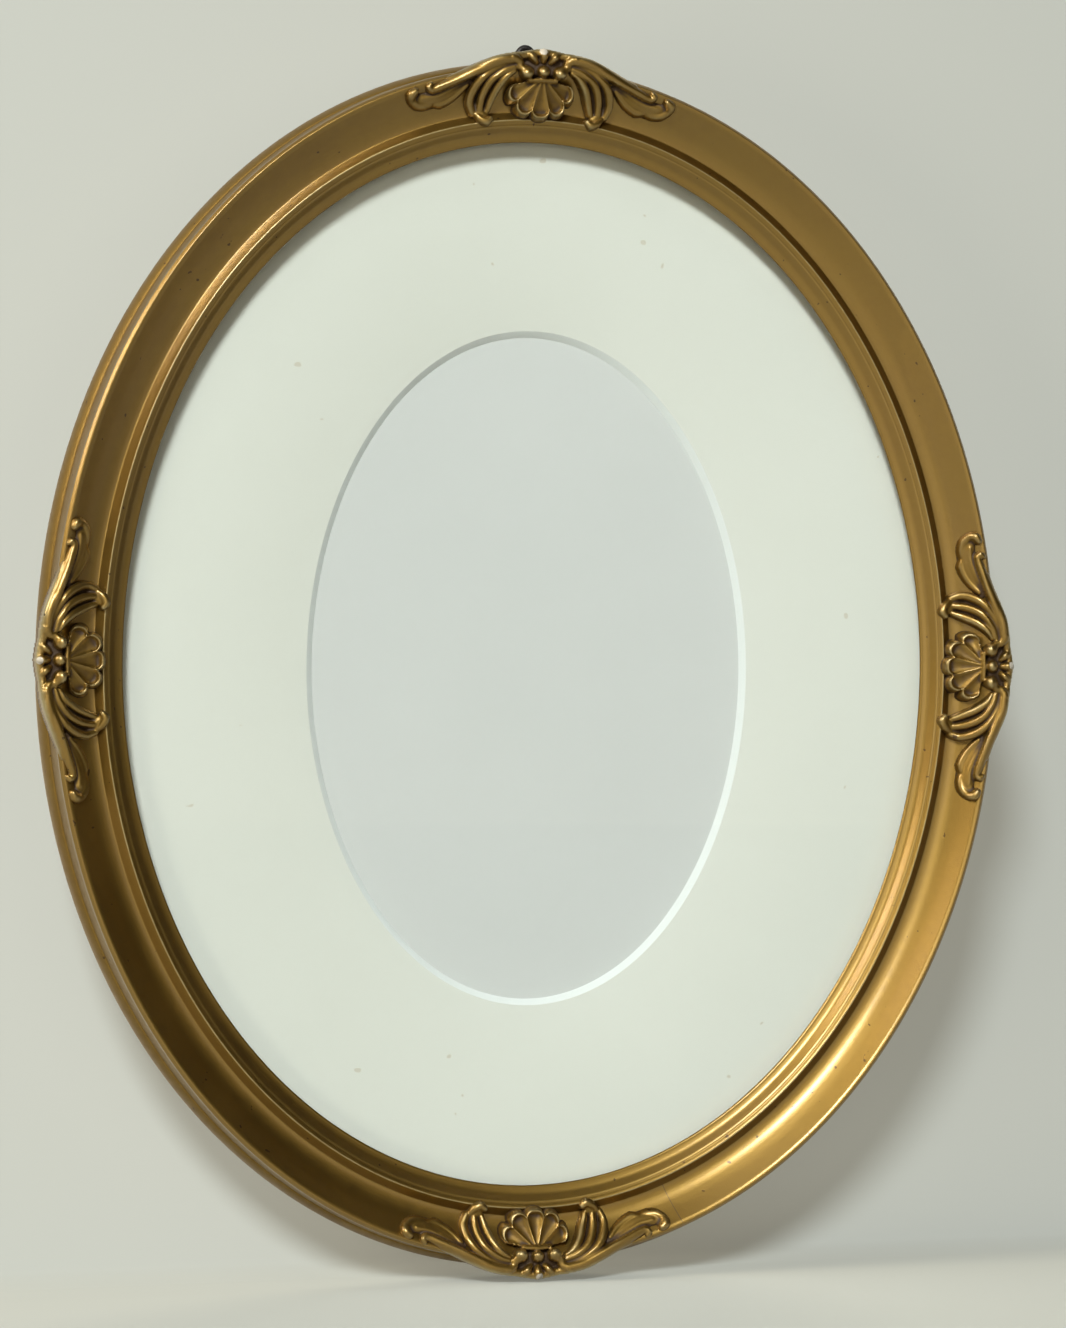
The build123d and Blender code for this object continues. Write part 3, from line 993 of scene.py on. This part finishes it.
# stage and light: a pale sweep behind, partly glowing as painted fill light, a floor beyond it, and lamps
# each lamp is a name, an azimuth, an elevation, a power and a size
studio = dict(
    paper=(0.619, 0.653, 0.619),
    sweep=(
        (-3.0, -0.2822),
        (-2.0, -0.2822),
        (-1.3, -0.2822),
        (-0.8, -0.2822),
        (-0.48, -0.2822),
        (-0.28, -0.2822),
        (-0.16, -0.2822),
        (-0.08, -0.2822),
        (-0.03, -0.2822),
        (0.0, -0.282),
        (0.01, -0.277),
        (0.017, -0.262),
        (0.022, -0.24),
        (0.027, -0.2),
        (0.029, -0.15),
        (0.027, -0.09),
        (0.022, -0.02),
        (0.017, 0.06),
        (0.012, 0.14),
        (0.01, 0.24),
        (0.01, 0.4),
        (0.01, 0.65),
        (0.01, 1.1),
        (0.01, 1.8),
    ),
    rearFloor=(
        (-0.02, -0.2823),
        (0.03, -0.2823),
        (0.1, -0.2823),
        (0.25, -0.2823),
        (0.6, -0.2823),
        (1.4, -0.2823),
        (3.0, -0.2823),
    ),
    halfWidth=3.0,
    columns=81,
    turn=1.5,
    hingeX=-0.11,
    # the sheet's level at the middle, a painted falloff that makes it lighter at left and darker at right,
    # and the reach of that falloff
    levelWithPaintedFalloff=(9.55, 4.8, 0.17),
    # glow: the share of the sheet that glows. This is painted fill light that lightens the frame's cast
    # shadow. The glow colour is warmer than the paper, which warms that shadow. foldShade lowers the glow
    # near the floor fold, so the shadow there stays darker
    glow=0.42,
    foldShade=(0.2, 0.02),
    glowColour=(0.60, 0.60, 0.51),
    world=0.02,
    worldColour=(1.0, 0.97, 0.92, 1.0),
    lampCentre=(0.0, 0.0, -0.142),
    leastLight=0.5,
    toneLimits=(0.25, 1.5),
    lampReach=3.0,
    keyColour=(0.95, 0.99, 1.0),
    fillColour=(1.0, 0.90, 0.72),
    lamps=(
        ("keyLamp", -22, 32, 83.0, 0.7),
        ("sideLamp", -80, 30, 54.0, 1.2),
        ("frontLamp", -15, 0, 7.0, 1.2),
        ("rightLamp", 16, -2, 7.0, 1.6),
        ("highLamp", -50, 60, 4.0, 1.2),
        ("lowLamp", -50, -10, 17.0, 1.2),
        ("rearLamp", 150, 30, 41.0, 1.5),
        ("rearLowLamp", 205, -5, 23.0, 1.5),
    ),
)
lampCentre = Vector(studio["lampCentre"])


def wallFinish(name):
    f = Finish(name)
    rays = f.add("ShaderNodeLightPath", {}, {}, "Is Camera Ray")
    glossy = f.add("ShaderNodeLightPath", {}, {}, "Is Glossy Ray")
    through = f.add("ShaderNodeLightPath", {}, {}, "Is Transmission Ray")
    rear = f.add("ShaderNodeNewGeometry", {}, {}, "Backfacing")
    shown = (rays + glossy + through) * (1 - rear)
    colour = f.mix(1.0, studio["paper"], f.mark("tone"), "MULTIPLY")
    paint = f.add("ShaderNodeBsdfDiffuse", {}, {"Color": colour})
    # the glow is painted fill light: it lightens the frame's cast shadow on the sheet
    shine = f.mix(1.0, studio["glowColour"], f.mark("level"), "MULTIPLY")
    glow = f.add("ShaderNodeEmission", {}, {"Color": shine})
    sheet = f.add("ShaderNodeMixShader", {}, {0: f.mark("share"), 1: paint, 2: glow})
    clear = f.add("ShaderNodeBsdfTransparent", {}, {})
    mixed = f.add("ShaderNodeMixShader", {}, {0: shown, 1: clear, 2: sheet})
    f.tree.links.new(mixed.socket, f.out.inputs["Surface"])
    return f.material


def lampDirection(azimuth, elevation):
    az, el = math.radians(azimuth), math.radians(elevation)
    return Vector((math.sin(az) * math.cos(el), -math.cos(az) * math.cos(el), math.sin(el)))


def addLamp(name, azimuth, elevation, power, size):
    towards = lampDirection(azimuth, elevation)
    bpy.ops.object.light_add(type="AREA", location=lampCentre + studio["lampReach"] * towards)
    lamp = bpy.context.object
    lamp.name = name
    lamp.data.shape = "DISK"
    lamp.data.size = size
    lamp.data.energy = power
    lamp.data.color = studio["keyColour"] if name == "keyLamp" else studio["fillColour"]
    lamp.rotation_euler = (-towards).to_track_quat("-Z", "Y").to_euler()


def lightFalling(points, facing):
    total = np.zeros(len(points))
    for name, azimuth, elevation, power, size in studio["lamps"]:
        towards = lampDirection(azimuth, elevation)
        ray = np.array(lampCentre + studio["lampReach"] * towards) - points
        away = np.linalg.norm(ray, axis=1)
        slant = np.clip((facing * ray).sum(1) / away, 0, 1)
        total += power * slant * np.clip(ray @ np.array(towards) / away, 0, 1) / away**2
    return total


def makeSheet(name, corners):
    line = smoothLine(corners, 10)
    piece, col, row = gridPiece(name, studio["columns"], len(line))
    across = (2 * col / (studio["columns"] - 1) - 1) * studio["halfWidth"]
    turn = math.radians(studio["turn"])
    x = across * math.cos(turn) - line[row, 0] * math.sin(turn)
    y = (across - studio["hingeX"]) * math.sin(turn) + line[row, 0] * math.cos(turn)
    points = np.stack([x, y, line[row, 1]], -1)
    setPoints(piece, points)
    along = np.gradient(line, axis=0)
    along /= np.linalg.norm(along, axis=1)[:, None]
    facing = np.stack([along[row, 1] * math.sin(turn), -along[row, 1] * math.cos(turn), along[row, 0]], -1)
    # the level carries a painted falloff, lighter at left and darker at right; tone divides it by the
    # lamps' light, so the lit sheet is even apart from that falloff
    middle, paintedFalloff, reach = studio["levelWithPaintedFalloff"]
    level = middle - paintedFalloff * np.clip(x, -reach, reach)
    setMark(piece, "level", level / middle)
    # less painted glow near the fold, so the contact shadow there stays darker
    less, wide = studio["foldShade"]
    fromFold = np.hypot(line[row, 0], line[row, 1] - studio["sweep"][0][1])
    setMark(piece, "share", studio["glow"] - less * np.exp(-((fromFold / wide) ** 2)))
    light = np.maximum(lightFalling(points, facing), studio["leastLight"])
    setMark(piece, "tone", np.clip(level / light, *studio["toneLimits"]))
    bpy.ops.object.shade_smooth()
    piece.data.materials.append(wallFinish(name))


makeSheet("paleSweep", studio["sweep"])
makeSheet("rearFloor", studio["rearFloor"])
for lampValues in studio["lamps"]:
    addLamp(*lampValues)
world = bpy.data.worlds.new("softRoom")
bpy.context.scene.world = world
world.use_nodes = True
world.node_tree.nodes["Background"].inputs["Color"].default_value = studio["worldColour"]
world.node_tree.nodes["Background"].inputs["Strength"].default_value = studio["world"]
print("stage and lamps set")
